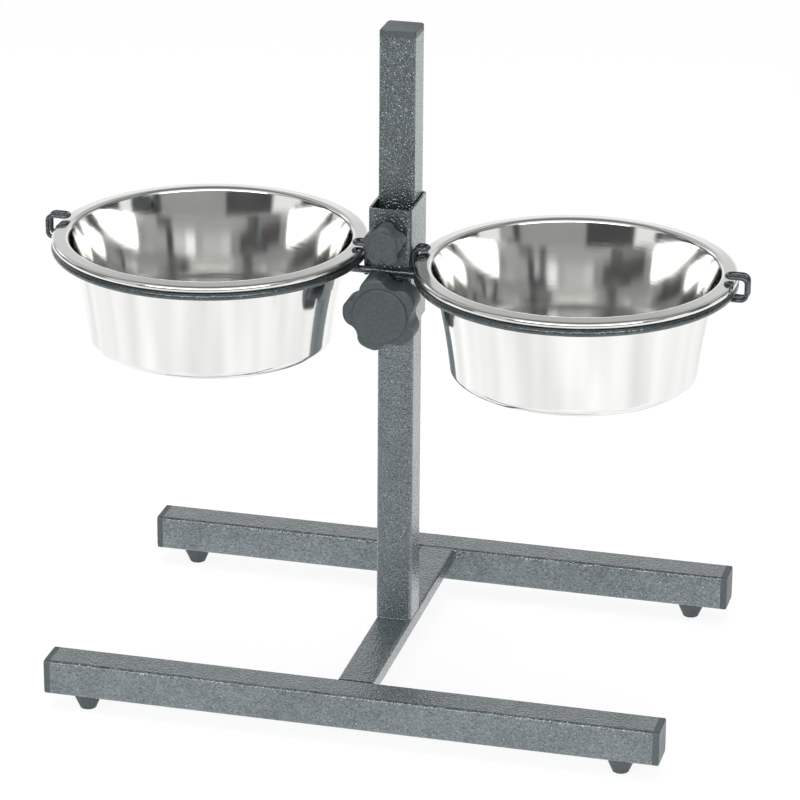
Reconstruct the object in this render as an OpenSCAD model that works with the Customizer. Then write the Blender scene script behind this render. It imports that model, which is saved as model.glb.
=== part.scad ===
// Height-adjustable stand for two feeding bowls: an H-shaped base of square tube carries a post,
// a clamped sleeve slides on the post, and a wire rack on the sleeve holds the bowls by their rims.
// Millimetres. +Z is up, -Y is the front, and the origin is on the floor under the post's centre.

/* [Base] */
// Outside width of the square tube of the rails and the post
tube_w = 25; // [20:0.5:35]
// Wall of the tubes
tube_wall = 1.5; // [1:0.1:2.2]
// Outside corner radius of the tubes
tube_corner = 2.2; // [1.2:0.1:3]
// Length of each floor rail's tube, without its end caps
rail_len = 418; // [320:1:600]
// Distance between the centre lines of the two floor rails
rail_spacing = 256; // [230:1:400]
// Height of the flat cross bar between the rails
bar_h = 12; // [8:0.5:20]
// Length of the post's tube above the cross bar
post_len = 421; // [380:1:600]

/* [Caps and feet] */
// Height of an end cap's visible flange
cap_flange = 4.5; // [2:0.1:6]
// Bevel round a cap's flange
cap_bevel = 0.6; // [0.4:0.1:1.8]
// Depth of a cap's plug in its tube
cap_plug = 12; // [6:0.5:20]
// Clearance between a cap's plug and its tube, each side
cap_play = 0.1; // [0.05:0.05:0.3]
// Wall of a cap's hollow plug
cap_wall = 2; // [1:0.1:3]
// Height of a rubber foot
foot_h = 12; // [8:0.5:20]
// Diameter of a foot where it meets the rail
foot_top_d = 20; // [15:0.5:24]
// Diameter of a foot on the floor
foot_bottom_d = 11.5; // [11:0.5:15]
// Distance from the end of the rail's tube to the foot's centre
foot_inset = 23; // [16:1:60]
// Shank diameter of a foot's screw
screw_d = 3.5; // [3:0.5:4]
// Head diameter of a foot's screw
screw_head_d = 6; // [5.5:0.5:7]
// Head height of a foot's screw
screw_head_h = 2.5; // [1.5:0.5:3]
// Depth of the recess that hides the screw's head
foot_recess = 6; // [4:0.5:7]

/* [Sleeve] */
// Height of the sleeve's lower edge above the floor
sleeve_z = 259; // [100:1:365]
// Height of the sleeve
sleeve_h = 85; // [75:1:120]
// Sheet thickness of the sleeve
sleeve_wall = 1.5; // [1:0.1:2.5]
// Outside bend radius of the sleeve's corners
sleeve_corner = 3; // [2:0.1:4]
// Running gap between the sleeve and the post, each side
sleeve_play = 0.75; // [0.4:0.05:1]
// Clear depth of the sleeve's pocket in front of the post
pocket = 16; // [13:0.5:24]

/* [Clamp screws] */
// Height of the large knob's axis above the sleeve's lower edge
height_screw_up = 18.5; // [14:0.5:20]
// Height of the small knob's axis above the sleeve's lower edge
steady_screw_up = 65; // [62:0.5:68]
// Overall diameter of the large knob
height_knob_d = 53; // [40:1:54]
// Depth of the large knob's lobes
height_lobe_h = 20; // [12:1:26]
// Stud diameter of the large knob
height_stud_d = 8; // [6:0.5:10]
// Overall diameter of the small knob
steady_knob_d = 28; // [24:1:32]
// Depth of the small knob's lobes
steady_lobe_h = 13; // [8:1:18]
// Stud diameter of the small knob
steady_stud_d = 6; // [5:0.5:8]
// Length of the hub behind a knob's lobes
knob_hub_h = 5.6; // [5.4:0.1:8]
// Gap between a knob's hub and the sleeve
knob_gap = 0.8; // [0.5:0.1:2]
// Gap between a pressure pad and the post
pad_gap = 0.3; // [0.2:0.05:0.5]
// Thickness of a pressure pad
pad_h = 5; // [4:0.5:6]
// Running clearance round a stud, each side
stud_play = 0.06; // [0.03:0.01:0.1]

/* [Rack] */
// Diameter of the wire of the rings and the cross rod
wire_d = 5; // [4:0.5:6]
// How far the middle of a ring's wire lies outside the middle of the rim's bead
ring_out = 0.5; // [-1:0.1:2]
// Clear space between a bowl's rim and the side of the sleeve
rim_to_sleeve = 4.25; // [4:0.25:20]
// Distance of the ring centres behind the sleeve's front face
ring_setback = 6; // [4:0.5:12]
// Height of the cross rod above the sleeve's lower edge
rod_up = 42.5; // [40:0.5:45]
// How far each end of the cross rod reaches past the middle of a ring's wire
rod_past = 5; // [3:0.5:10]
// Diameter of the wire of the clips and hooks
clip_wire_d = 3; // [2.5:0.1:3.4]
// Distance between the two wires of a clip
clip_spread = 8; // [6:0.5:12]
// Bend radius of a clip's wire
clip_bend = 4; // [3:0.5:6]
// Gap between the rim and the legs of an outer clip
clip_standoff = 6; // [4:0.5:12]
// How far a clip or hook reaches over the rim
clip_reach = 8; // [5:0.5:10]
// Gap between the rim and the wire above it
clip_lift = 1.5; // [0.5:0.1:3]
// Running gap between an outer clip's curl and its ring
clip_play = 0.4; // [0.3:0.05:0.6]
// Angle that an outer clip swings outwards, in degrees
clip_swing = 50; // [40:1:55]

/* [Bowls] */
// Diameter of a bowl over its rolled rim
bowl_d = 215; // [190:1:264]
// Height of a bowl
bowl_h = 76; // [60:1:100]
// Sheet thickness of a bowl
bowl_sheet = 0.8; // [0.6:0.1:1.2]
// Outside radius of the rolled bead at the rim's edge
bead_r = 2.5; // [2.2:0.1:3.5]
// Slope of the rim down to its bead, in degrees
rim_slope = 5; // [0:1:20]
// Length of the rim's flat slope
rim_flat = 3; // [1:0.5:8]
// Radius of the flare from the wall into the rim
flare_r = 8; // [3:0.5:10]
// Lean of a bowl's wall from upright, in degrees
wall_lean = 10.5; // [6:0.5:20]
// Radius of the edge round a bowl's base
base_edge_r = 6; // [4:0.5:14]
// Gap between a bowl's rim and its ring
seat_gap = 0.3; // [0.2:0.05:0.5]

/* [Hidden] */
$fn = 96;

enamel = "#757c7f";
dark_plastic = "#3d4345";
knob_plastic = "#565d5f";
black_rubber = "#33373a";
zinc = "#b9bcbe";
wire_enamel = "#54595b";
steel = "#d9dbdc";

left = -1;
right = 1;
front = -1;
rear = 1;
hair = 0.05;

// Base
tube_in = tube_w - 2 * tube_wall;
tube_in_corner = max(tube_corner - tube_wall, 0.4);
rail_z = foot_h + tube_w / 2;
rail_top = foot_h + tube_w;
bar_len = rail_spacing - tube_w;
foot_x = rail_len / 2 - foot_inset;

// Sleeve, measured from the post's centre
sleeve_in_x = tube_w / 2 + sleeve_play;
sleeve_out_x = sleeve_in_x + sleeve_wall;
plate_back_y = -(tube_w / 2 + pocket);
plate_front_y = plate_back_y - sleeve_wall;
sleeve_back_in_y = tube_w / 2 + sleeve_play;
sleeve_back_y = sleeve_back_in_y + sleeve_wall;
sleeve_mid_y = (plate_front_y + sleeve_back_y) / 2;
sleeve_depth = sleeve_back_y - plate_front_y;
sleeve_in_corner = max(sleeve_corner - sleeve_wall, 0.4);

// Clamp screws
height_screw_z = sleeve_z + height_screw_up;
steady_screw_z = sleeve_z + steady_screw_up;
hub_back_y = plate_front_y - knob_gap;
pad_front_y = -tube_w / 2 - pad_gap;
pad_socket = pad_h * 0.6;
stud_end_gap = 0.2;
stud_hole_play = 0.4;

// Rack: the ring carries the bead of the rim, so the bowl's height follows from where the two touch
rod_z = sleeve_z + rod_up;
ring_z = rod_z + wire_d + hair;
ring_y = plate_front_y + ring_setback;
ring_x = sleeve_out_x + rim_to_sleeve + bowl_d / 2;
rod_y = plate_front_y - wire_d / 2;
bead_mid_r = bead_r - bowl_sheet / 2;
bead_x = bowl_d / 2 - bead_r;
ring_d = 2 * (bead_x + ring_out);
seat_dist = bead_r + wire_d / 2 + seat_gap;
bead_z = ring_z + sqrt(pow(seat_dist, 2) - pow(ring_d / 2 - bead_x, 2));

// Bowl profile, as the middle line of its sheet, from the bead inwards and down
rim_dir = 90 - rim_slope;
bead_top = [bead_x + bead_mid_r * cos(rim_dir), bead_z + bead_mid_r * sin(rim_dir)];
flare_end = [bead_top[0] - rim_flat * cos(rim_slope), bead_top[1] + rim_flat * sin(rim_slope)];
flare_mid = [flare_end[0] - flare_r * cos(rim_dir), flare_end[1] - flare_r * sin(rim_dir)];
rim_top_z = flare_mid[1] + flare_r + bowl_sheet / 2;
bowl_bottom_z = rim_top_z - bowl_h;
wall_top = [flare_mid[0] - flare_r * cos(wall_lean), flare_mid[1] + flare_r * sin(wall_lean)];
base_mid_z = bowl_bottom_z + bowl_sheet / 2 + base_edge_r;
base_turn_z = base_mid_z - base_edge_r * sin(wall_lean);
base_turn_x = wall_top[0] - (wall_top[1] - base_turn_z) * tan(wall_lean);
base_mid = [base_turn_x - base_edge_r * cos(wall_lean), base_mid_z];
bead_curl = 240;

// Points of an arc from angle a to angle b
function arc(mid, r, a, b, n) = [
    for (i = [0 : n])
        let (t = a + (b - a) * i / n)
        mid + r * [cos(t), sin(t)]];

// Direction of a path at one of its points, from the points beside it
function heading(p, i) =
    let (d = p[min(i + 1, len(p) - 1)] - p[max(i - 1, 0)])
    d / norm(d);

// A path moved sideways by a distance, to its left when positive
function beside(p, dist) = [for (i = [0 : len(p) - 1]) let (h = heading(p, i)) p[i] + dist * [-h[1], h[0]]];

function reversed(p) = [for (i = [len(p) - 1 : -1 : 0]) p[i]];

bowl_path = concat(
    [[0, bowl_bottom_z + bowl_sheet / 2]],
    arc(base_mid, base_edge_r, -90, -wall_lean, 10),
    arc(flare_mid, flare_r, 180 - wall_lean, rim_dir, 10),
    arc([bead_x, bead_z], bead_mid_r, rim_dir, rim_dir - bead_curl, 16));

module rounded_rect(w, h, r) {
    square([w - 2 * r, h], center = true);
    square([w, h - 2 * r], center = true);
    for (x = [-1, 1], y = [-1, 1])
        translate([x * (w / 2 - r), y * (h / 2 - r)]) circle(r);
}

// Section of a tube, width along X and height along Y
module tube_section(w, h) {
    difference() {
        rounded_rect(w, h, tube_corner);
        rounded_rect(w - 2 * tube_wall, h - 2 * tube_wall, tube_in_corner);
    }
}

module along_x() { rotate([90, 0, 90]) children(); }
module along_y() { rotate([90, 0, 0]) children(); }

module floor_rail(side) {
    color(enamel) difference() {
        translate([0, side * rail_spacing / 2, rail_z])
            along_x() linear_extrude(rail_len, center = true) tube_section(tube_w, tube_w);
        for (x = [left, right])
            translate([x * foot_x, side * rail_spacing / 2, foot_h - hair])
                cylinder(d = screw_d + 2 * stud_hole_play, h = tube_wall + 2 * hair);
    }
}

module front_rail() { floor_rail(front); }
module rear_rail() { floor_rail(rear); }

module cross_bar() {
    color(enamel) translate([0, 0, rail_top - bar_h / 2])
        along_y() linear_extrude(bar_len, center = true) tube_section(tube_w, bar_h);
}

module post() {
    color(enamel) translate([0, 0, rail_top]) linear_extrude(post_len) tube_section(tube_w, tube_w);
}

// End cap for the square tube, its flange along +Z from the tube's cut end
module tube_cap() {
    plug_w = tube_in - 2 * cap_play;
    color(dark_plastic) {
        hull() {
            linear_extrude(cap_flange - cap_bevel) rounded_rect(tube_w, tube_w, tube_corner, $fn = 32);
            linear_extrude(cap_flange)
                rounded_rect(tube_w - 2 * cap_bevel, tube_w - 2 * cap_bevel, tube_corner, $fn = 32);
        }
        translate([0, 0, -cap_plug]) linear_extrude(cap_plug + hair) difference() {
            rounded_rect(plug_w, plug_w, tube_in_corner);
            square(plug_w - 2 * cap_wall, center = true);
        }
    }
}

module post_cap() { translate([0, 0, rail_top + post_len]) tube_cap(); }

module rail_cap(side, end) {
    translate([end * rail_len / 2, side * rail_spacing / 2, rail_z]) rotate([0, end * 90, 0]) tube_cap();
}

module cap_front_left() { rail_cap(front, left); }
module cap_front_right() { rail_cap(front, right); }
module cap_rear_left() { rail_cap(rear, left); }
module cap_rear_right() { rail_cap(rear, right); }

module at_foot(side, end) { translate([end * foot_x, side * rail_spacing / 2, 0]) children(); }

module foot(side, end) {
    edge_r = 0.8;
    color(black_rubber) at_foot(side, end) difference() {
        rotate_extrude() polygon(concat(
            [[0, 0]],
            arc([foot_bottom_d / 2 - edge_r, edge_r], edge_r, -90, 0, 5),
            [[foot_top_d / 2, foot_h - edge_r * 2], [foot_top_d / 2, foot_h], [0, foot_h]]));
        translate([0, 0, -hair]) cylinder(d = screw_head_d + 1, h = foot_recess + hair);
        cylinder(d = screw_d + 2 * stud_hole_play, h = foot_h + hair);
    }
}

module foot_front_left() { foot(front, left); }
module foot_front_right() { foot(front, right); }
module foot_rear_left() { foot(rear, left); }
module foot_rear_right() { foot(rear, right); }

module foot_screws() {
    grip = 6;
    color(zinc) for (side = [front, rear], end = [left, right])
        at_foot(side, end) {
            translate([0, 0, foot_recess])
                cylinder(d = screw_d, h = foot_h - foot_recess + tube_wall + grip);
            difference() {
                translate([0, 0, foot_recess - screw_head_h])
                    cylinder(d = screw_head_d, h = screw_head_h);
                translate([0, 0, foot_recess - screw_head_h - hair])
                    cylinder(d = screw_d * 0.7, h = screw_head_h * 0.6, $fn = 6);
            }
        }
}

// Moves a shape drawn along +Z so that it points to the front from the sleeve, at one screw's height
module at_screw(z, y) { translate([0, y, z]) rotate([90, 0, 0]) children(); }

module height_sleeve() {
    color(enamel) difference() {
        translate([0, sleeve_mid_y, sleeve_z]) linear_extrude(sleeve_h)
            rounded_rect(2 * sleeve_out_x, sleeve_depth, sleeve_corner);
        translate([0, sleeve_mid_y, sleeve_z - hair]) linear_extrude(sleeve_h + 2 * hair)
            rounded_rect(2 * sleeve_in_x, sleeve_depth - 2 * sleeve_wall, sleeve_in_corner);
        at_screw(height_screw_z, plate_back_y + 1)
            cylinder(d = height_stud_d + 2 * stud_hole_play, h = sleeve_wall + 2);
        at_screw(steady_screw_z, plate_back_y + 1)
            cylinder(d = steady_stud_d + 2 * stud_hole_play, h = sleeve_wall + 2);
    }
}

// Hexagon nut of a stud's size, welded inside the sleeve's front plate
module weld_nut(z, stud_d) {
    nut_h = stud_d * 0.8;
    across = stud_d * 1.62;
    color(zinc) at_screw(z, plate_back_y + nut_h) difference() {
        cylinder(d = across / cos(30), h = nut_h, $fn = 6);
        translate([0, 0, -hair]) cylinder(d = stud_d + 2 * stud_play, h = nut_h + 2 * hair);
    }
}

module height_nut() { weld_nut(height_screw_z, height_stud_d); }
module steady_nut() { weld_nut(steady_screw_z, steady_stud_d); }

// Outline of a knob whose round lobes run smoothly into round notches
module star_outline(d, lobes, notch_at) {
    lobe_r = d * 0.18;
    lobe_dist = d / 2 - lobe_r;
    notch_r = d * 0.165;
    half = 180 / lobes;
    reach = lobe_dist * cos(half);
    notch_dist = reach + sqrt(pow(reach, 2) - pow(lobe_dist, 2) + pow(lobe_r + notch_r, 2));
    lobe_mid = lobe_dist * [cos(half), sin(half)];
    touch = lobe_mid + ([notch_dist, 0] - lobe_mid) * lobe_r / (lobe_r + notch_r);
    difference() {
        union() {
            circle(norm(touch));
            for (i = [0 : lobes - 1])
                rotate(notch_at + half + 2 * half * i) translate([lobe_dist, 0]) circle(lobe_r);
        }
        for (i = [0 : lobes - 1])
            rotate(notch_at + 2 * half * i) translate([notch_dist, 0]) circle(notch_r);
    }
}

// Star knob along +Z from the back of its hub, with a softened edge and a low round boss on its face
module star_knob(d, lobe_h, stud_d, notch_at) {
    edge_r = d * 0.07;
    boss_r = d * 0.33;
    boss_h = d * 0.03;
    hub_r = stud_d * 1.5;
    face = knob_hub_h + lobe_h - boss_h;
    difference() {
        union() {
            cylinder(r = hub_r, h = knob_hub_h + hair);
            intersection() {
                translate([0, 0, knob_hub_h]) linear_extrude(lobe_h) star_outline(d, 5, notch_at);
                rotate_extrude() polygon(concat(
                    [[0, knob_hub_h]],
                    arc([d / 2 - edge_r / 2, knob_hub_h + edge_r / 2], edge_r / 2, -90, 0, 5),
                    arc([d / 2 - edge_r, face - edge_r], edge_r, 0, 90, 8),
                    [[boss_r + boss_h, face]],
                    arc([boss_r, face], boss_h, 0, 90, 4),
                    [[0, face + boss_h]]));
            }
        }
        translate([0, 0, -hair]) cylinder(d = stud_d, h = knob_hub_h + lobe_h * 0.5 + hair);
    }
}

// Threaded stud, drawn at its thread's outside, from inside the knob to the socket of its pad
module knob_stud(z, stud_d, lobe_h) {
    tip_y = pad_front_y - pad_h + pad_socket - stud_end_gap;
    in_knob = knob_hub_h + lobe_h * 0.5;
    chamfer = stud_d * 0.1;
    len = tip_y - hub_back_y + in_knob;
    color(zinc) at_screw(z, tip_y) rotate_extrude()
        polygon([[0, 0], [stud_d / 2 - chamfer, 0], [stud_d / 2, chamfer], [stud_d / 2, len], [0, len]]);
}

// Pressure pad on the stud's end, which keeps the screw off the post's enamel
module pressure_pad(z, stud_d) {
    color(dark_plastic) at_screw(z, pad_front_y) difference() {
        cylinder(d = stud_d * 1.6, h = pad_h);
        translate([0, 0, pad_h - pad_socket]) cylinder(d = stud_d + 2 * stud_play, h = pad_socket + hair);
    }
}

module height_knob() {
    color(knob_plastic) at_screw(height_screw_z, hub_back_y)
        star_knob(height_knob_d, height_lobe_h, height_stud_d, 70);
}
module height_stud() { knob_stud(height_screw_z, height_stud_d, height_lobe_h); }
module height_pad() { pressure_pad(height_screw_z, height_stud_d); }

module steady_knob() {
    color(knob_plastic) at_screw(steady_screw_z, hub_back_y)
        star_knob(steady_knob_d, steady_lobe_h, steady_stud_d, 52);
}
module steady_stud() { knob_stud(steady_screw_z, steady_stud_d, steady_lobe_h); }
module steady_pad() { pressure_pad(steady_screw_z, steady_stud_d); }

module ring_wire(side) {
    color(wire_enamel) translate([side * ring_x, ring_y, ring_z])
        rotate_extrude() translate([ring_d / 2, 0]) circle(d = wire_d);
}

// Straight rod welded across the sleeve's front, with the two rings welded on top of it
module cross_rod() {
    ring_at_rod_x = ring_x - sqrt(pow(ring_d / 2, 2) - pow(ring_y - rod_y, 2));
    color(wire_enamel) translate([0, rod_y, rod_z]) rotate([0, 90, 0])
        cylinder(d = wire_d, h = 2 * (ring_at_rod_x + rod_past), center = true);
}

module left_ring() { ring_wire(left); }
module right_ring() { ring_wire(right); }

// Bend of a clip's wire in the XZ plane, from angle a over an angle sweep
module wire_bend(x, z, r, a, sweep) {
    translate([x, 0, z]) rotate([90, 0, 0]) rotate([0, 0, a])
        rotate_extrude(angle = sweep) translate([r, 0]) circle(d = clip_wire_d);
}

// Straight wire along X or along Z, from one end to the other
module wire_x(from, to, z) {
    translate([from, 0, z]) rotate([0, to > from ? 90 : -90, 0])
        cylinder(d = clip_wire_d, h = abs(to - from));
}
module wire_z(x, from, to) {
    translate([x, 0, from]) rotate([0, to > from ? 0 : 180, 0])
        cylinder(d = clip_wire_d, h = abs(to - from));
}

// Half-round end that joins a clip's two wires
module wire_turn(x, z, a) {
    translate([x, 0, z]) rotate([0, 0, a])
        rotate_extrude(angle = 180) translate([clip_spread / 2, 0]) rotate(90) circle(d = clip_wire_d);
}

module two_wires() { for (y = [-1, 1]) translate([0, y * clip_spread / 2, 0]) children(); }

arm_z = rim_top_z + clip_lift + clip_wire_d / 2;

// The outer clip curls round the ring's wire from below, and its curl stops short of the bead
// by the angle that the clip swings
curl_r = wire_d / 2 + clip_play + clip_wire_d / 2;
bead_dir = atan2(bead_z - ring_z, bead_x - ring_d / 2);
bead_keep = bead_r + clip_wire_d / 2 + clip_play;
bead_angle = acos((pow(seat_dist, 2) + pow(curl_r, 2) - pow(bead_keep, 2)) / (2 * seat_dist * curl_r));
curl_from = min(bead_dir + bead_angle + clip_swing + 2, 260);

// Outer clip of the left ring, drawn about its hinge on the ring's wire: round the wire from below,
// out, up and back over the rim
module outer_clip() {
    rim_x = (ring_d - bowl_d) / 2;
    leg_x = rim_x - clip_standoff - clip_wire_d / 2;
    bend_x = leg_x + clip_bend;
    turn_x = rim_x + clip_reach - clip_wire_d / 2 - clip_spread / 2;
    top_z = round(100 * (arm_z - ring_z)) / 100;
    curl = round(270 - curl_from);
    translate([-ring_x - ring_d / 2, ring_y, ring_z]) union() {
        union() {
            two_wires() wire_x(turn_x, bend_x, top_z);
            wire_turn(turn_x, top_z, -90);
        }
        two_wires() {
            wire_bend(bend_x, top_z - clip_bend, clip_bend, 90, 90);
            wire_z(leg_x, top_z - clip_bend, clip_bend - curl_r);
            wire_bend(bend_x, clip_bend - curl_r, clip_bend, 180, 90);
            wire_x(bend_x, 0, -curl_r);
            wire_bend(0, 0, curl_r, -90, curl);
        }
    }
}

// Inner hook, drawn for the right ring: up the side of the sleeve and out over the rim
module inner_hook() {
    leg_x = sleeve_out_x + clip_wire_d / 2 + hair;
    low_z = ring_z - wire_d * 2;
    turn_x = ring_x - bowl_d / 2 + clip_reach - clip_wire_d / 2 - clip_spread / 2;
    hook_bend = min(clip_bend, turn_x - leg_x - hair);
    bend_x = leg_x + hook_bend;
    translate([0, ring_y, 0]) {
        two_wires() {
            wire_z(leg_x, arm_z - hook_bend, low_z);
            wire_bend(bend_x, arm_z - hook_bend, hook_bend, 90, 90);
            wire_x(turn_x, bend_x, arm_z);
        }
        wire_turn(turn_x, arm_z, -90);
    }
}

module left_hook() { color(wire_enamel) mirror([1, 0, 0]) inner_hook(); }
module right_hook() { color(wire_enamel) inner_hook(); }
module left_clip() { color(wire_enamel) outer_clip(); }
module right_clip() { color(wire_enamel) mirror([1, 0, 0]) outer_clip(); }

module bowl(side) {
    inner = [for (p = beside(bowl_path, bowl_sheet / 2)) [max(p[0], 0), p[1]]];
    outer = [for (p = beside(bowl_path, -bowl_sheet / 2)) [max(p[0], 0), p[1]]];
    color(steel) translate([side * ring_x, ring_y, 0])
        rotate_extrude() polygon(concat(outer, reversed(inner)));
}

module left_bowl() { bowl(left); }
module right_bowl() { bowl(right); }

front_rail();
rear_rail();
cross_bar();
post();
post_cap();
cap_front_left();
cap_front_right();
cap_rear_left();
cap_rear_right();
foot_front_left();
foot_front_right();
foot_rear_left();
foot_rear_right();
foot_screws();
height_sleeve();
height_nut();
steady_nut();
height_knob();
height_stud();
height_pad();
steady_knob();
steady_stud();
steady_pad();
cross_rod();
left_ring();
right_ring();
left_hook();
right_hook();
left_clip();
right_clip();
left_bowl();
right_bowl();
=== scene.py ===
"""Looks of a height-adjustable stand for two feeding bowls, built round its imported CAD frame."""

import math

import bmesh
import bpy
from mathutils import Matrix, Vector


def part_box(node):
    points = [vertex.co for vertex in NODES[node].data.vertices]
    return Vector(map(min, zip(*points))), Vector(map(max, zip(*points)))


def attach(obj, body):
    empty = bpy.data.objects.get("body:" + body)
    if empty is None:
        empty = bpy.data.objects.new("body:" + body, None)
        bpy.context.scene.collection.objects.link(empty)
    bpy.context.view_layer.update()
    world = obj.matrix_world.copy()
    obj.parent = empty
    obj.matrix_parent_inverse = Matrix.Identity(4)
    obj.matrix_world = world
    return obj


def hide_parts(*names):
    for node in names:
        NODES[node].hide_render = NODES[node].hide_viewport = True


bl_info = {
    "name": "Feeding bowl stand",
    "version": (1, 0, 0),
    "blender": (4, 5, 0),
    "location": "View3D > Sidebar > Bowl stand",
    "description": "Dresses the CAD frame of a height-adjustable stand for two feeding bowls",
    "category": "Object",
}

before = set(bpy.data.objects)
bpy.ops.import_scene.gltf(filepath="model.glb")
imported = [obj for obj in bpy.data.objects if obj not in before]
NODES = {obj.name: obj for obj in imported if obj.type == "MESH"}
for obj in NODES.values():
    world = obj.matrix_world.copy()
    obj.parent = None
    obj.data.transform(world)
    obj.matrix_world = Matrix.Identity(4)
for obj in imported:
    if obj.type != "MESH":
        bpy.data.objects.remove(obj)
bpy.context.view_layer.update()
MM = 0.001

TUBES = ("front_rail", "rear_rail", "cross_bar", "post", "height_sleeve")
WIRES = ("cross_rod", "left_hook", "right_hook", "left_clip", "right_clip")
KNOBS = ("height_knob", "steady_knob")
FEET = ("foot_front_left", "foot_front_right", "foot_rear_left", "foot_rear_right")
CAPS = ("post_cap", "cap_front_left", "cap_front_right", "cap_rear_left", "cap_rear_right")
PADS = ("height_pad", "steady_pad")
FASTENERS = ("foot_screws", "height_nut", "steady_nut", "height_stud", "steady_stud")

BASE_STEPS, WALL_STEPS, FLARE_STEPS, BEAD_STEPS = 14, 16, 20, 26  # points along each part of a bowl's section

# the floor in metres; its glow is what the camera sees beside lit paper, and metal sees a painted glow that dims
# with distance
FLOOR_REACH = 6.0
FLOOR_GLOW, GLOW_SHARE = 1.18, 0.72
NEAR_Y, NEAR_GLOW = -0.4, 1.3
FAR_Y, FAR_GLOW = -1.0, 0.2
# size and depth of the clouds that mottle the glow metal sees into painted patches of brighter and dimmer light
CLOUD_SIZE, CLOUD_DEPTH = 0.16, 0.16

# what polished metal sees of the studio: rows of grey panels, each row from the sine of its height above
# the horizon and each panel from its angle in degrees to the right of the camera
PANEL_EDGE, ROW_EDGE = 1.5, 0.035
PANEL_ROWS = (
    (0.0, ((-180, 1.0), (-150, 0.4), (-128, 0.08), (-76, 1.0), (-50, 0.08), (-10, 0.36), (44, 0.08), (50, 0.4),
           (62, 1.0), (82, 0.1), (104, 0.9), (120, 0.4), (150, 1.0))),
    (0.26, ((-180, 0.76), (-163, 0.6), (-150, 1.5), (-134, 0.9), (-112, 0.08), (-100, 0.55), (-60, 0.4), (-45, 5.5),
            (45, 0.4), (60, 0.12), (132, 0.4), (148, 0.9), (164, 0.76))),
    (0.45, ((-180, 0.55), (-110, 0.2), (-84, 0.6), (-60, 0.95), (60, 0.35), (100, 0.2), (120, 0.55))),
    (0.86, ((-180, 0.22), (0, 0.22))),
)
HORIZON_LIGHT, ZENITH_LIGHT = 0.55, 0.3

# soft lamps: place and width in metres, power in watts
LAMPS = (
    ("key", (0.5, -2.2, 0.7), 1.2, 26.0),
    ("fill", (-1.8, -1.5, 1.0), 1.2, 10.0),
    ("top", (0.0, 0.0, 2.4), 1.8, 20.0),
)
LAMP_AIM = Vector((0, 0, 0.15))


def linear(hex_colour):
    """An sRGB hex colour as linear red, green and blue."""
    parts = [int(hex_colour[i:i + 2], 16) / 255 for i in (1, 3, 5)]
    return [c / 12.92 if c <= 0.04045 else ((c + 0.055) / 1.055) ** 2.4 for c in parts]


def rgba(colour):
    return (*colour, 1.0)


def colour_property(name, hex_colour, description):
    return bpy.props.FloatVectorProperty(
        name=name, description=description, subtype="COLOR", size=3, min=0, max=1, default=linear(hex_colour))


def length_property(name, size_mm, description):
    return bpy.props.FloatProperty(
        name=name, description=description, subtype="DISTANCE", unit="LENGTH", min=0, default=size_mm * MM)


def angle_property(name, degrees, description):
    return bpy.props.FloatProperty(
        name=name, description=description, subtype="ANGLE", default=math.radians(degrees))


def count_property(name, count, description):
    return bpy.props.IntProperty(name=name, description=description, min=1, default=count)


class StandFinishes(bpy.types.PropertyGroup):
    """Colours and grain of the stand's finishes."""

    enamel: colour_property("Tube enamel", "#757D80", "Hammer-finish enamel of the tubes and the sleeve")
    enamel_grain: length_property("Enamel grain", 1.4, "Spacing of the bumps of the tube enamel")
    enamel_relief: length_property("Enamel relief", 0.7, "Height of the bumps of the tube enamel")
    wire: colour_property("Wire enamel", "#565C5E", "Hammer-finish enamel of the rings, hooks and clips")
    wire_grain: length_property("Wire grain", 1.6, "Spacing of the bumps of the wire enamel")
    wire_relief: length_property("Wire relief", 0.35, "Height of the bumps of the wire enamel")
    knob: colour_property("Knob plastic", "#454C4E", "Moulded plastic of the star knobs")
    cap: colour_property("Cap plastic", "#4D5457", "Moulded plastic of the end caps and pads")
    rubber: colour_property("Foot rubber", "#484F52", "Moulded rubber of the feet")
    mould_grain: length_property("Mould grain", 2.0, "Spacing of the grain of plastic and rubber, drawn coarse")
    zinc: colour_property("Zinc plate", "#B9BDBF", "Zinc plate of the screws, studs and nuts")
    steel: colour_property("Stainless steel", "#E3E3E1", "Polished stainless sheet of the bowls")


class RackSizes(bpy.types.PropertyGroup):
    """Sizes of the wire rack and the welds that their CAD boxes don't give."""

    ring_steps: count_property("Ring steps", 192, "Faces along a ring's wire")
    wire_sides: count_property("Wire sides", 20, "Faces round a ring's wire")
    weld_w: length_property("Weld width", 2.2, "Width of a weld bead's drops")
    weld_inset: length_property("Weld inset", 3.0, "Distance of a weld's end from the edge beside it")
    weld_reach: length_property("Weld reach", 7.0, "Length of each weld between the sleeve and the cross rod")
    weld_seed: count_property("Weld seed", 3, "Seed of the drops' sizes")


class BowlSizes(bpy.types.PropertyGroup):
    """Sizes of a spun bowl that its CAD box doesn't give."""

    sheet: length_property("Sheet", 0.8, "Thickness of the sheet")
    bead_r: length_property("Bead", 2.5, "Outside radius of the rolled bead")
    rim_flat: length_property("Rim flat", 6.0, "Length of the rim's flat slope")
    flare_r: length_property("Flare", 3.0, "Radius of the flare from the wall into the rim")
    base_edge_r: length_property("Base edge", 6.0, "Radius of the edge round the base")
    rim_slope: angle_property("Rim slope", 5.0, "Slope of the rim down to its bead")
    lean: angle_property("Wall lean", 10.5, "Lean of the wall from upright")
    bow: angle_property("Wall bow", 4.0, "How much more the wall leans at its top than at mid height")
    bead_turn: angle_property("Bead turn", 240.0, "How far the rim's edge is rolled round")
    segments: count_property("Segments", 192, "Faces round the bowl")


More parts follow.
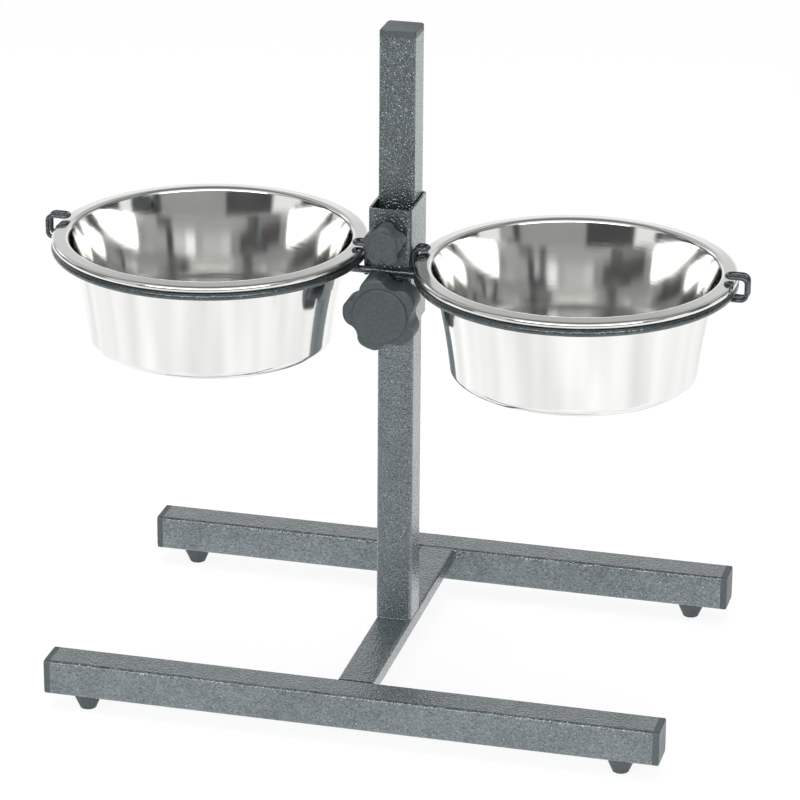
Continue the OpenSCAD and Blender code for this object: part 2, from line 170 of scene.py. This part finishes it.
class StageSettings(bpy.types.PropertyGroup):
    """Camera, light and floor."""

    azimuth: angle_property("Azimuth", 14.183, "Camera's turn to the right of the front")
    elevation: angle_property("Elevation", 21.637, "Camera's height above the horizon")
    roll: angle_property("Roll", 0.41, "Camera's turn about its own axis")
    focal_px: bpy.props.FloatProperty(
        name="Focal length in pixels", description="For an image 800 pixels wide", default=3970.0)
    distance: length_property("Distance", 2724.3, "Camera's distance from its target")
    target_x: length_property("Target right", 0.57, "Camera's target to the right of the post")
    target_z: length_property("Target height", 196.5, "Camera's target above the floor")
    floor: colour_property("Floor", "#F2F3F3", "Plain pale floor")


def put(tree, kind, settings=None, inputs=None):
    """Adds a node, sets its fields, and sets or links its inputs by name or number."""
    made = tree.nodes.new(kind)
    for field, value in (settings or {}).items():
        setattr(made, field, value)
    for key, value in (inputs or {}).items():
        socket = made.inputs[key]
        if isinstance(value, bpy.types.NodeSocket):
            tree.links.new(value, socket)
        else:
            socket.default_value = value
    return made


def new_material(name):
    """An empty material, its tree and its Object coordinates."""
    material = bpy.data.materials.new(name)
    material.use_nodes = True
    tree = material.node_tree
    tree.nodes.clear()
    return material, tree, put(tree, "ShaderNodeTexCoord").outputs["Object"]


def close_material(tree, shader):
    put(tree, "ShaderNodeOutputMaterial", None, {"Surface": shader.outputs[0]})


def hammer_enamel(name, colour, grain, relief, roughness):
    """Hammer-finish enamel: a silver-grey flake paint that draws up into small bumps as it dries. Its colour is
    painted darker in the bumps' hollows and lighter on their crests, a painted shade and painted highlight that
    follow the bump height, with a slow random drift of tone; the wet-looking skin over the bumps breaks each
    reflection into light and dark."""
    material, tree, place = new_material(name)
    bumps = put(tree, "ShaderNodeTexNoise", None, {"Vector": place, "Scale": 1 / grain, "Detail": 1.0})
    drift = put(tree, "ShaderNodeTexNoise", None, {"Vector": place, "Scale": 1 / (14 * grain), "Detail": 3.0})
    # the bump height plus a slow random drift, which paints shade into the bumps' hollows and highlight onto their
    # crests
    bump_shade_and_drift = put(tree, "ShaderNodeMath", {"operation": "MULTIPLY_ADD"},
               {0: drift.outputs["Fac"], 1: 0.4, 2: bumps.outputs["Fac"]})
    level = put(tree, "ShaderNodeMapRange", None, {"Value": bump_shade_and_drift.outputs[0], "From Min": 0.45, "From Max": 0.95})
    # lit and shaded copies of the enamel colour: painted highlight on the crests, painted shade in the hollows
    paint = put(tree, "ShaderNodeMix", {"data_type": "RGBA"}, {
        "Factor": level.outputs["Result"], 6: rgba([c * 0.7 for c in colour]), 7: rgba([c * 1.38 for c in colour])})
    bump = put(tree, "ShaderNodeBump", None,
               {"Height": bumps.outputs["Fac"], "Distance": relief, "Strength": 1.0})
    shader = put(tree, "ShaderNodeBsdfPrincipled", None, {
        "Base Color": paint.outputs[2], "Metallic": 0.8, "Roughness": roughness,
        "Normal": bump.outputs["Normal"], "Coat Weight": 0.3, "Coat Roughness": 0.06,
        "Coat IOR": 1.5, "Coat Normal": bump.outputs["Normal"]})
    close_material(tree, shader)
    return material


def moulded(name, colour, grain, roughness, relief):
    """Moulded plastic or rubber: an even dull colour with the fine spark-eroded grain of its mould
    and slightly shinier where it has been handled."""
    material, tree, place = new_material(name)
    # the real grain is about 0.1 mm; it is drawn coarser so that it shows in the render
    specks = put(tree, "ShaderNodeTexNoise", None,
                 {"Vector": place, "Scale": 1 / grain, "Detail": 3.0, "Roughness": 0.6})
    wear = put(tree, "ShaderNodeTexNoise", None, {"Vector": place, "Scale": 1 / (22 * MM), "Detail": 2.0})
    level = put(tree, "ShaderNodeMapRange", None,
                {"Value": specks.outputs["Fac"], "From Min": 0.35, "From Max": 0.65})
    tint = put(tree, "ShaderNodeMix", {"data_type": "RGBA"}, {
        "Factor": level.outputs["Result"], 6: rgba([c * 0.84 for c in colour]), 7: rgba([c * 1.18 for c in colour])})
    rough = put(tree, "ShaderNodeMapRange", None,
                {"Value": wear.outputs["Fac"], "From Min": 0.3, "From Max": 0.7,
                 "To Min": roughness - 0.08, "To Max": roughness + 0.06})
    bump = put(tree, "ShaderNodeBump", None,
               {"Height": specks.outputs["Fac"], "Distance": relief, "Strength": 1.0})
    shader = put(tree, "ShaderNodeBsdfPrincipled", None, {
        "Base Color": tint.outputs[2], "Roughness": rough.outputs["Result"], "IOR": 1.52,
        "Normal": bump.outputs["Normal"]})
    close_material(tree, shader)
    return material


def polished_steel(name, colour):
    """Stainless sheet, spun and buffed: close to a mirror, with faint rings left by the buffing wheel
    that stretch its reflections, and a touch of haze in patches."""
    material, tree, place = new_material(name)
    # buffing rings lie level round the bowl, so the pattern is fine in height and long across
    squeeze = put(tree, "ShaderNodeMapping", None, {"Vector": place, "Scale": (12.0, 12.0, 1 / (0.45 * MM))})
    rings = put(tree, "ShaderNodeTexNoise", None,
                {"Vector": squeeze.outputs["Vector"], "Scale": 1.0, "Detail": 2.0})
    haze = put(tree, "ShaderNodeTexNoise", None, {"Vector": place, "Scale": 1 / (35 * MM), "Detail": 3.0})
    rough = put(tree, "ShaderNodeMapRange", None,
                {"Value": haze.outputs["Fac"], "From Min": 0.3, "From Max": 0.7, "To Min": 0.05, "To Max": 0.11})
    bump = put(tree, "ShaderNodeBump", None,
               {"Height": rings.outputs["Fac"], "Distance": 0.012 * MM, "Strength": 1.0})
    shader = put(tree, "ShaderNodeBsdfPrincipled", None, {
        "Base Color": rgba(colour), "Metallic": 1.0, "Roughness": rough.outputs["Result"],
        "Normal": bump.outputs["Normal"]})
    close_material(tree, shader)
    return material


def zinc_plate(name, colour):
    """Bright zinc on steel: a cool metal with a fine spangle and a soft gloss."""
    material, tree, place = new_material(name)
    spangle = put(tree, "ShaderNodeTexVoronoi", None, {"Vector": place, "Scale": 1 / (0.8 * MM)})
    rough = put(tree, "ShaderNodeMapRange", None,
                {"Value": spangle.outputs["Distance"], "To Min": 0.24, "To Max": 0.42})
    tint = put(tree, "ShaderNodeMix", {"data_type": "RGBA"}, {
        "Factor": spangle.outputs["Distance"], 6: rgba(colour), 7: rgba([c * 0.8 for c in colour])})
    shader = put(tree, "ShaderNodeBsdfPrincipled", None, {
        "Base Color": tint.outputs[2], "Metallic": 1.0, "Roughness": rough.outputs["Result"]})
    close_material(tree, shader)
    return material


def finish_nodes(names, material):
    """Gives CAD nodes a material in place of the one they came with."""
    for name in names:
        mesh = NODES[name].data
        mesh.materials.clear()
        mesh.materials.append(material)


def add_piece(name, mesh, body, material):
    """Puts a finished mesh in the scene as a piece that rides on a body."""
    piece = bpy.data.objects.new(name, mesh)
    bpy.context.scene.collection.objects.link(piece)
    mesh.materials.clear()
    mesh.materials.append(material)
    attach(piece, body)
    return piece


def arc(mid, radius, start, end, count):
    """Points of an arc between two angles."""
    turns = [start + (end - start) * i / count for i in range(count + 1)]
    return [Vector((mid[0] + radius * math.cos(t), mid[1] + radius * math.sin(t))) for t in turns]


def beside(path, distance):
    """A path moved sideways, to its left when the distance is positive."""
    moved = []
    for i, point in enumerate(path):
        along = (path[min(i + 1, len(path) - 1)] - path[max(i - 1, 0)]).normalized()
        moved.append(point + distance * Vector((-along[1], along[0])))
    return moved


def bowl_profile(sizes, radius, bottom, top):
    """Half section of a bowl as one loop of radius and height, from the axis under its base to the
    axis over it: flat base, leaning wall, flare, sloping rim and rolled bead."""
    half = sizes.sheet / 2
    lean, bow, slope = sizes.lean, sizes.bow, sizes.rim_slope
    rim_dir = math.pi / 2 - slope
    rim_normal = Vector((math.cos(rim_dir), math.sin(rim_dir)))
    bead_mid_r = sizes.bead_r - half
    bead_top_x = radius - sizes.bead_r + bead_mid_r * rim_normal[0]
    flare_mid = Vector((bead_top_x - sizes.rim_flat * math.cos(slope) - sizes.flare_r * rim_normal[0],
                        top - half - sizes.flare_r))
    flare_end = flare_mid + sizes.flare_r * rim_normal
    bead_top = flare_end + sizes.rim_flat * Vector((math.cos(slope), -math.sin(slope)))
    bead_mid = bead_top - bead_mid_r * rim_normal
    wall_top = flare_mid + sizes.flare_r * Vector((-math.cos(lean + bow), math.sin(lean + bow)))
    base_mid_z = bottom + half + sizes.base_edge_r
    turn_z = base_mid_z - sizes.base_edge_r * math.sin(lean - bow)
    turn = Vector((wall_top[0] - (wall_top[1] - turn_z) * math.tan(lean), turn_z))
    base_mid = Vector((turn[0] - sizes.base_edge_r * math.cos(lean - bow), base_mid_z))
    # at mid height the wall bows towards the axis by under a fiftieth of its length
    bulge = (wall_top - turn).length * bow * Vector((-math.cos(lean), math.sin(lean)))
    path = [Vector((base_mid[0] * share, bottom + half)) for share in (0, 0.5, 0.97)]
    path += arc(base_mid, sizes.base_edge_r, -math.pi / 2, bow - lean, BASE_STEPS)
    path += [turn.lerp(wall_top, share) + share * (1 - share) * bulge for share in
             (0.02, *(i / WALL_STEPS for i in range(1, WALL_STEPS)), 0.98)]
    path += arc(flare_mid, sizes.flare_r, math.pi - lean - bow, rim_dir, FLARE_STEPS)
    path += [flare_end.lerp(bead_top, share) for share in (0.1, 0.5, 0.9)]
    path += arc(bead_mid, bead_mid_r, rim_dir, rim_dir - sizes.bead_turn, BEAD_STEPS)
    outer, inner = ([Vector((max(p[0], 0), p[1])) for p in beside(path, gap)] for gap in (-half, half))
    return outer + inner[::-1]


def revolve(name, profile, centre, segments):
    """A mesh turned about an upright axis from a half section whose two ends lie on the axis."""
    bm = bmesh.new()
    rows = []
    for radius, height in profile:
        if radius < 1e-7:
            rows.append([bm.verts.new((centre[0], centre[1], height))])
            continue
        turns = [2 * math.pi * i / segments for i in range(segments)]
        rows.append([bm.verts.new((centre[0] + radius * math.cos(t), centre[1] + radius * math.sin(t), height))
                     for t in turns])
    for low, high in zip(rows, rows[1:]):
        for i in range(segments):
            j = (i + 1) % segments
            corners = [low[i % len(low)], low[j % len(low)], high[j % len(high)], high[i % len(high)]]
            bm.faces.new(list(dict.fromkeys(corners)))
    bmesh.ops.recalc_face_normals(bm, faces=bm.faces)
    mesh = bpy.data.meshes.new(name)
    bm.to_mesh(mesh)
    bm.free()
    mesh.shade_smooth()
    return mesh


def wire_tree():
    """Geometry Nodes that sweep a round wire along a path."""
    tree = bpy.data.node_groups.new("wire_along_path", "GeometryNodeTree")
    face = tree.interface
    face.new_socket("Path", in_out="INPUT", socket_type="NodeSocketGeometry")
    face.new_socket("Wire diameter", in_out="INPUT", socket_type="NodeSocketFloat")
    face.new_socket("Sides", in_out="INPUT", socket_type="NodeSocketInt")
    face.new_socket("Finish", in_out="INPUT", socket_type="NodeSocketMaterial")
    face.new_socket("Wire", in_out="OUTPUT", socket_type="NodeSocketGeometry")
    given = put(tree, "NodeGroupInput").outputs
    radius = put(tree, "ShaderNodeMath", {"operation": "MULTIPLY"}, {0: given["Wire diameter"], 1: 0.5})
    section = put(tree, "GeometryNodeCurvePrimitiveCircle", None,
                  {"Resolution": given["Sides"], "Radius": radius.outputs[0]})
    swept = put(tree, "GeometryNodeCurveToMesh", None,
                {"Curve": given["Path"], "Profile Curve": section.outputs["Curve"], "Fill Caps": True})
    smooth = put(tree, "GeometryNodeSetShadeSmooth", None, {"Geometry": swept.outputs[0], "Shade Smooth": True})
    solid = put(tree, "GeometryNodeRealizeInstances", None, {"Geometry": smooth.outputs[0]})
    dressed = put(tree, "GeometryNodeSetMaterial", None,
                  {"Geometry": solid.outputs[0], "Material": given["Finish"]})
    put(tree, "NodeGroupOutput", None, {"Wire": dressed.outputs[0]})
    return tree


def weld_tree():
    """Geometry Nodes that lay the overlapping drops of a weld along a path."""
    tree = bpy.data.node_groups.new("weld_along_path", "GeometryNodeTree")
    face = tree.interface
    face.new_socket("Path", in_out="INPUT", socket_type="NodeSocketGeometry")
    face.new_socket("Drop width", in_out="INPUT", socket_type="NodeSocketFloat")
    face.new_socket("Drop spacing", in_out="INPUT", socket_type="NodeSocketFloat")
    face.new_socket("Seed", in_out="INPUT", socket_type="NodeSocketInt")
    face.new_socket("Finish", in_out="INPUT", socket_type="NodeSocketMaterial")
    face.new_socket("Weld", in_out="OUTPUT", socket_type="NodeSocketGeometry")
    given = put(tree, "NodeGroupInput").outputs
    places = put(tree, "GeometryNodeCurveToPoints", {"mode": "LENGTH"},
                 {"Curve": given["Path"], "Length": given["Drop spacing"]})
    radius = put(tree, "ShaderNodeMath", {"operation": "MULTIPLY"}, {0: given["Drop width"], 1: 0.5})
    drop = put(tree, "GeometryNodeMeshIcoSphere", None, {"Radius": radius.outputs[0], "Subdivisions": 2})
    vary = put(tree, "FunctionNodeRandomValue", None, {2: 0.8, 3: 1.1, "Seed": given["Seed"]})
    drops = put(tree, "GeometryNodeInstanceOnPoints", None,
                {"Points": places.outputs["Points"], "Instance": drop.outputs["Mesh"], "Scale": vary.outputs[1]})
    smooth = put(tree, "GeometryNodeSetShadeSmooth", None, {"Geometry": drops.outputs[0], "Shade Smooth": True})
    solid = put(tree, "GeometryNodeRealizeInstances", None, {"Geometry": smooth.outputs[0]})
    dressed = put(tree, "GeometryNodeSetMaterial", None,
                  {"Geometry": solid.outputs[0], "Material": given["Finish"]})
    put(tree, "NodeGroupOutput", None, {"Weld": dressed.outputs[0]})
    return tree


def grown(tree, name, paths, inputs):
    """Runs a tree on open or closed paths and returns its result as a plain mesh."""
    curve = bpy.data.curves.new(name + "_path", "CURVE")
    curve.dimensions = "3D"
    for points, closed in paths:
        spline = curve.splines.new("POLY")
        spline.points.add(len(points) - 1)
        for spot, point in zip(spline.points, points):
            spot.co = (*point, 1.0)
        spline.use_cyclic_u = closed
    carrier = bpy.data.objects.new(name + "_path", curve)
    bpy.context.scene.collection.objects.link(carrier)
    modifier = carrier.modifiers.new("grow", "NODES")
    modifier.node_group = tree
    sockets = {s.name: s.identifier for s in tree.interface.items_tree if s.in_out == "INPUT"}
    for key, value in inputs.items():
        modifier[sockets[key]] = value
    shown = carrier.evaluated_get(bpy.context.evaluated_depsgraph_get())
    mesh = bpy.data.meshes.new_from_object(shown)
    mesh.name = name
    carrier.modifiers.remove(modifier)
    bpy.data.objects.remove(carrier)
    bpy.data.curves.remove(curve)
    return mesh


class STAND_OT_tubes(bpy.types.Operator):
    """Enamels the rails, the cross bar, the post and the sleeve"""

    bl_idname = "stand.tubes"
    bl_label = "Tubes and sleeve"

    def execute(self, context):
        look = context.scene.stand_finishes
        material = hammer_enamel("Hammer-finish enamel on tube", look.enamel, look.enamel_grain,
                                 look.enamel_relief, roughness=0.15)
        finish_nodes(TUBES, material)
        return {"FINISHED"}


class STAND_OT_rack(bpy.types.Operator):
    """Sweeps the rings and enamels the rod, the hooks and the clips"""

    bl_idname = "stand.rack"
    bl_label = "Wire rack"

    def execute(self, context):
        look, sizes = context.scene.stand_finishes, context.scene.stand_rack
        material = hammer_enamel("Hammer-finish enamel on wire", look.wire, look.wire_grain,
                                 look.wire_relief, roughness=0.18)
        finish_nodes(WIRES, material)
        tree = wire_tree()
        for side in ("left", "right"):
            low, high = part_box(side + "_ring")
            middle = (low + high) / 2
            wire_d = high[2] - low[2]
            radius = (high[0] - low[0] - wire_d) / 2
            turns = [2 * math.pi * i / sizes.ring_steps for i in range(sizes.ring_steps)]
            loop = [middle + radius * Vector((math.cos(t), math.sin(t), 0)) for t in turns]
            mesh = grown(tree, side + "_ring_wire", [(loop, True)],
                         {"Wire diameter": wire_d, "Sides": sizes.wire_sides, "Finish": material})
            ring = add_piece(side + "_ring_wire", mesh, "carriage", material)
            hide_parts(side + "_ring")
        return {"FINISHED"}


class STAND_OT_welds(bpy.types.Operator):
    """Lays the weld beads at the post's foot and along the cross rod"""

    bl_idname = "stand.welds"
    bl_label = "Welds"

    def execute(self, context):
        sizes = context.scene.stand_rack
        tree = weld_tree()
        post_low, post_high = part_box("post")
        inset = sizes.weld_inset
        foot = [([(post_low[0] + inset, y, post_low[2]), (post_high[0] - inset, y, post_low[2])], False)
                for y in (post_low[1], post_high[1])]
        sleeve_low, sleeve_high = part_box("height_sleeve")
        rod_low, rod_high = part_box("cross_rod")
        seam_z = (rod_low[2] + 3 * rod_high[2]) / 4
        rod = [([(x, sleeve_low[1], seam_z), (x + way * sizes.weld_reach, sleeve_low[1], seam_z)], False)
               for x, way in ((sleeve_low[0] + inset, 1), (sleeve_high[0] - inset, -1))]
        for name, paths, body, slot, donor in (
                ("post_weld", foot, "stand", "hammer_enamel", "post"),
                ("rod_weld", rod, "carriage", "wire_enamel", "cross_rod")):
            material = NODES[donor].data.materials[0]
            mesh = grown(tree, name, paths, {"Drop width": sizes.weld_w, "Drop spacing": sizes.weld_w / 2,
                                             "Seed": sizes.weld_seed, "Finish": material})
            add_piece(name, mesh, body, material)
        return {"FINISHED"}


class STAND_OT_bowls(bpy.types.Operator):
    """Spins the two polished bowls"""

    bl_idname = "stand.bowls"
    bl_label = "Bowls"

    def execute(self, context):
        sizes = context.scene.stand_bowl
        material = polished_steel("Polished stainless sheet", context.scene.stand_finishes.steel)
        for side in ("left", "right"):
            low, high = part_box(side + "_bowl")
            centre = (low + high) / 2
            profile = bowl_profile(sizes, (high[0] - low[0]) / 2, low[2], high[2])
            mesh = revolve(side + "_spun_bowl", profile, centre, sizes.segments)
            mesh.set_sharp_from_angle(angle=math.radians(50))
            bowl = add_piece(side + "_spun_bowl", mesh, side + "_bowl_body", material)
            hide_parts(side + "_bowl")
        return {"FINISHED"}


class STAND_OT_plastics(bpy.types.Operator):
    """Finishes the knobs, the end caps, the pads and the feet"""

    bl_idname = "stand.plastics"
    bl_label = "Knobs, caps and feet"

    def execute(self, context):
        look = context.scene.stand_finishes
        for nodes, name, colour, roughness, relief in (
                (KNOBS, "Moulded polyamide knob", look.knob, 0.46, 0.12 * MM),
                (CAPS + PADS, "Moulded polyethylene cap", look.cap, 0.44, 0.08 * MM),
                (FEET, "Moulded rubber foot", look.rubber, 0.6, 0.08 * MM)):
            finish_nodes(nodes, moulded(name, colour, look.mould_grain, roughness, relief))
        return {"FINISHED"}


class STAND_OT_fasteners(bpy.types.Operator):
    """Plates the screws, the studs and the nuts"""

    bl_idname = "stand.fasteners"
    bl_label = "Screws, studs and nuts"

    def execute(self, context):
        finish_nodes(FASTENERS, zinc_plate("Zinc-plated steel", context.scene.stand_finishes.zinc))
        return {"FINISHED"}


class STAND_OT_stage(bpy.types.Operator):
    """Sets the floor, the light and the camera"""

    bl_idname = "stand.stage"
    bl_label = "Stage"

    def execute(self, context):
        stage = context.scene.stand_stage
        self.lay_floor(stage)
        self.light_world(context.scene, stage)
        self.hang_lamps()
        self.aim_camera(context.scene, stage)
        context.scene.view_settings.view_transform = "Standard"
        return {"FINISHED"}

    def lay_floor(self, stage):
        mesh = bpy.data.meshes.new("floor")
        corners = [(x * FLOOR_REACH, y * FLOOR_REACH, 0) for x, y in ((-1, -1), (1, -1), (1, 1), (-1, 1))]
        mesh.from_pydata(corners, [], [(0, 1, 2, 3)])
        floor = bpy.data.objects.new("floor", mesh)
        bpy.context.scene.collection.objects.link(floor)
        material, tree, place = new_material("Pale studio floor")
        paper = put(tree, "ShaderNodeBsdfDiffuse", None, {"Color": rgba(stage.floor)})
        # metal sees the paper bright round the stand and dim towards the camera, where it is unlit
        depth = put(tree, "ShaderNodeSeparateXYZ", None, {"Vector": place})
        dim = put(tree, "ShaderNodeMapRange", None, {
            "Value": depth.outputs["Y"], "From Min": FAR_Y, "From Max": NEAR_Y,
            "To Min": FAR_GLOW, "To Max": NEAR_GLOW})
        # painted patches of brighter and dimmer glow in what metal sees of the floor
        cloud = put(tree, "ShaderNodeTexNoise", None, {"Vector": place, "Scale": 1 / CLOUD_SIZE, "Detail": 1.0})
        sheen = put(tree, "ShaderNodeMapRange", None, {
            "Value": cloud.outputs["Fac"], "From Min": 0.3, "From Max": 0.7,
            "To Min": 1 - CLOUD_DEPTH, "To Max": 1 + CLOUD_DEPTH})
        mottled = put(tree, "ShaderNodeMath", {"operation": "MULTIPLY"},
                      {0: dim.outputs["Result"], 1: sheen.outputs["Result"]})
        rays = put(tree, "ShaderNodeLightPath")
        bright = put(tree, "ShaderNodeMix", None, {
            "Factor": rays.outputs["Is Glossy Ray"], 2: FLOOR_GLOW, 3: mottled.outputs[0]})
        glow = put(tree, "ShaderNodeEmission", None, {"Color": (1, 1, 1, 1), "Strength": bright.outputs[0]})
        seen = put(tree, "ShaderNodeMath", {"operation": "MAXIMUM"},
                   {0: rays.outputs["Is Camera Ray"], 1: rays.outputs["Is Glossy Ray"]})
        clear = put(tree, "ShaderNodeMath", {"operation": "MAXIMUM"},
                    {0: seen.outputs[0], 1: rays.outputs["Is Transmission Ray"]})
        share = put(tree, "ShaderNodeMath", {"operation": "MULTIPLY"}, {0: clear.outputs[0], 1: GLOW_SHARE})
        mixed = put(tree, "ShaderNodeMixShader", None,
                    {0: share.outputs[0], 1: paper.outputs[0], 2: glow.outputs[0]})
        close_material(tree, mixed)
        mesh.materials.append(material)

    def light_world(self, scene, stage):
        """A white backdrop that metal sees as a room: lit panels and dark gaps round the horizon."""
        world = bpy.data.worlds.new("Studio")
        scene.world = world
        world.use_nodes = True
        tree = world.node_tree
        tree.nodes.clear()
        way = put(tree, "ShaderNodeTexCoord").outputs["Generated"]
        turned = put(tree, "ShaderNodeVectorRotate", {"rotation_type": "Z_AXIS"},
                     {"Vector": way, "Angle": -stage.azimuth})
        split = put(tree, "ShaderNodeSeparateXYZ", None, {"Vector": turned.outputs[0]})
        ahead = put(tree, "ShaderNodeMath", {"operation": "MULTIPLY"}, {0: split.outputs["Y"], 1: -1.0})
        turn = put(tree, "ShaderNodeMath", {"operation": "ARCTAN2"}, {0: split.outputs["X"], 1: ahead.outputs[0]})
        share = put(tree, "ShaderNodeMapRange", None,
                    {"Value": turn.outputs[0], "From Min": -math.pi, "From Max": math.pi})
        room = None
        for height, panels in PANEL_ROWS:
            ramp = put(tree, "ShaderNodeValToRGB", None, {"Fac": share.outputs["Result"]})
            self.set_panels(ramp.color_ramp, panels)
            if room is None:
                room = ramp.outputs["Color"]
                continue
            rise = put(tree, "ShaderNodeMapRange", None, {
                "Value": split.outputs["Z"], "From Min": height - ROW_EDGE, "From Max": height + ROW_EDGE})
            room = put(tree, "ShaderNodeMix", {"data_type": "RGBA"}, {
                "Factor": rise.outputs["Result"], 6: room, 7: ramp.outputs["Color"]}).outputs[2]
        soft = put(tree, "ShaderNodeMapRange", None, {
            "Value": split.outputs["Z"], "From Max": 0.9, "To Min": HORIZON_LIGHT, "To Max": ZENITH_LIGHT})
        rays = put(tree, "ShaderNodeLightPath")
        lit = put(tree, "ShaderNodeMix", {"data_type": "RGBA"}, {
            "Factor": rays.outputs["Is Glossy Ray"], 6: soft.outputs["Result"], 7: room})
        behind = put(tree, "ShaderNodeMath", {"operation": "MAXIMUM"},
                     {0: rays.outputs["Is Camera Ray"], 1: rays.outputs["Is Transmission Ray"]})
        shown = put(tree, "ShaderNodeMix", {"data_type": "RGBA"}, {
            "Factor": behind.outputs[0], 6: lit.outputs[2], 7: (1, 1, 1, 1)})
        sky = put(tree, "ShaderNodeBackground", None, {"Color": shown.outputs[2], "Strength": 1.0})
        put(tree, "ShaderNodeOutputWorld", None, {"Surface": sky.outputs[0]})

    def set_panels(self, ramp, panels):
        """Greys of panels round the stand, each from its angle to the right of the camera, in degrees."""
        stops = []
        for (start, grey), (end, _) in zip(panels, panels[1:] + ((180, 0),)):
            stops += [(start + PANEL_EDGE, grey), (end - PANEL_EDGE, grey)]
        for angle, _ in stops[1:-1]:
            ramp.elements.new(angle / 360 + 0.5)
        for element, (angle, grey) in zip(ramp.elements, stops):
            element.position = angle / 360 + 0.5
            element.color = (grey, grey, grey, 1)

    def hang_lamps(self):
        for name, place, size, power in LAMPS:
            data = bpy.data.lights.new(name, "AREA")
            data.shape = "SQUARE"
            data.size = size
            data.energy = power
            lamp = bpy.data.objects.new(name, data)
            bpy.context.scene.collection.objects.link(lamp)
            lamp.location = place
            lamp.visible_glossy = False
            lamp.rotation_euler = (LAMP_AIM - Vector(place)).to_track_quat("-Z", "Y").to_euler()

    def aim_camera(self, scene, stage):
        az, el, roll = stage.azimuth, stage.elevation, stage.roll
        back = Vector((math.sin(az) * math.cos(el), -math.cos(az) * math.cos(el), math.sin(el)))
        level = Vector((math.cos(az), math.sin(az), 0))
        rise = back.cross(level)
        right = math.cos(roll) * level + math.sin(roll) * rise
        up = math.cos(roll) * rise - math.sin(roll) * level
        data = bpy.data.cameras.new("camera")
        data.sensor_width = 36.0
        data.lens = stage.focal_px / 800 * data.sensor_width
        data.clip_end = 50.0
        camera = bpy.data.objects.new("camera", data)
        scene.collection.objects.link(camera)
        turn = Matrix((right, up, back)).transposed().to_4x4()
        eye = Vector((stage.target_x, 0, stage.target_z)) + back * stage.distance
        camera.matrix_world = Matrix.Translation(eye) @ turn
        scene.camera = camera


class STAND_PT_panel(bpy.types.Panel):
    """Lists the stand's pieces and their sizes and colours"""

    bl_idname = "STAND_PT_panel"
    bl_label = "Feeding bowl stand"
    bl_space_type = "VIEW_3D"
    bl_region_type = "UI"
    bl_category = "Bowl stand"

    def draw(self, context):
        for operator in OPERATORS:
            self.layout.operator(operator.bl_idname)
        scene = context.scene
        for group in (scene.stand_finishes, scene.stand_rack, scene.stand_bowl, scene.stand_stage):
            box = self.layout.box()
            for name in group.__annotations__:
                box.prop(group, name)


OPERATORS = (STAND_OT_tubes, STAND_OT_rack, STAND_OT_welds, STAND_OT_bowls, STAND_OT_plastics,
             STAND_OT_fasteners, STAND_OT_stage)
CLASSES = (StandFinishes, RackSizes, BowlSizes, StageSettings, *OPERATORS, STAND_PT_panel)


def register():
    for made in CLASSES:
        bpy.utils.register_class(made)
    bpy.types.Scene.stand_finishes = bpy.props.PointerProperty(type=StandFinishes)
    bpy.types.Scene.stand_rack = bpy.props.PointerProperty(type=RackSizes)
    bpy.types.Scene.stand_bowl = bpy.props.PointerProperty(type=BowlSizes)
    bpy.types.Scene.stand_stage = bpy.props.PointerProperty(type=StageSettings)


def unregister():
    del bpy.types.Scene.stand_stage
    del bpy.types.Scene.stand_bowl
    del bpy.types.Scene.stand_rack
    del bpy.types.Scene.stand_finishes
    for made in reversed(CLASSES):
        bpy.utils.unregister_class(made)


def main():
    register()
    bpy.ops.stand.tubes()
    bpy.ops.stand.rack()
    bpy.ops.stand.welds()
    bpy.ops.stand.bowls()
    bpy.ops.stand.plastics()
    bpy.ops.stand.fasteners()
    bpy.ops.stand.stage()


if __name__ == "__main__":
    main()
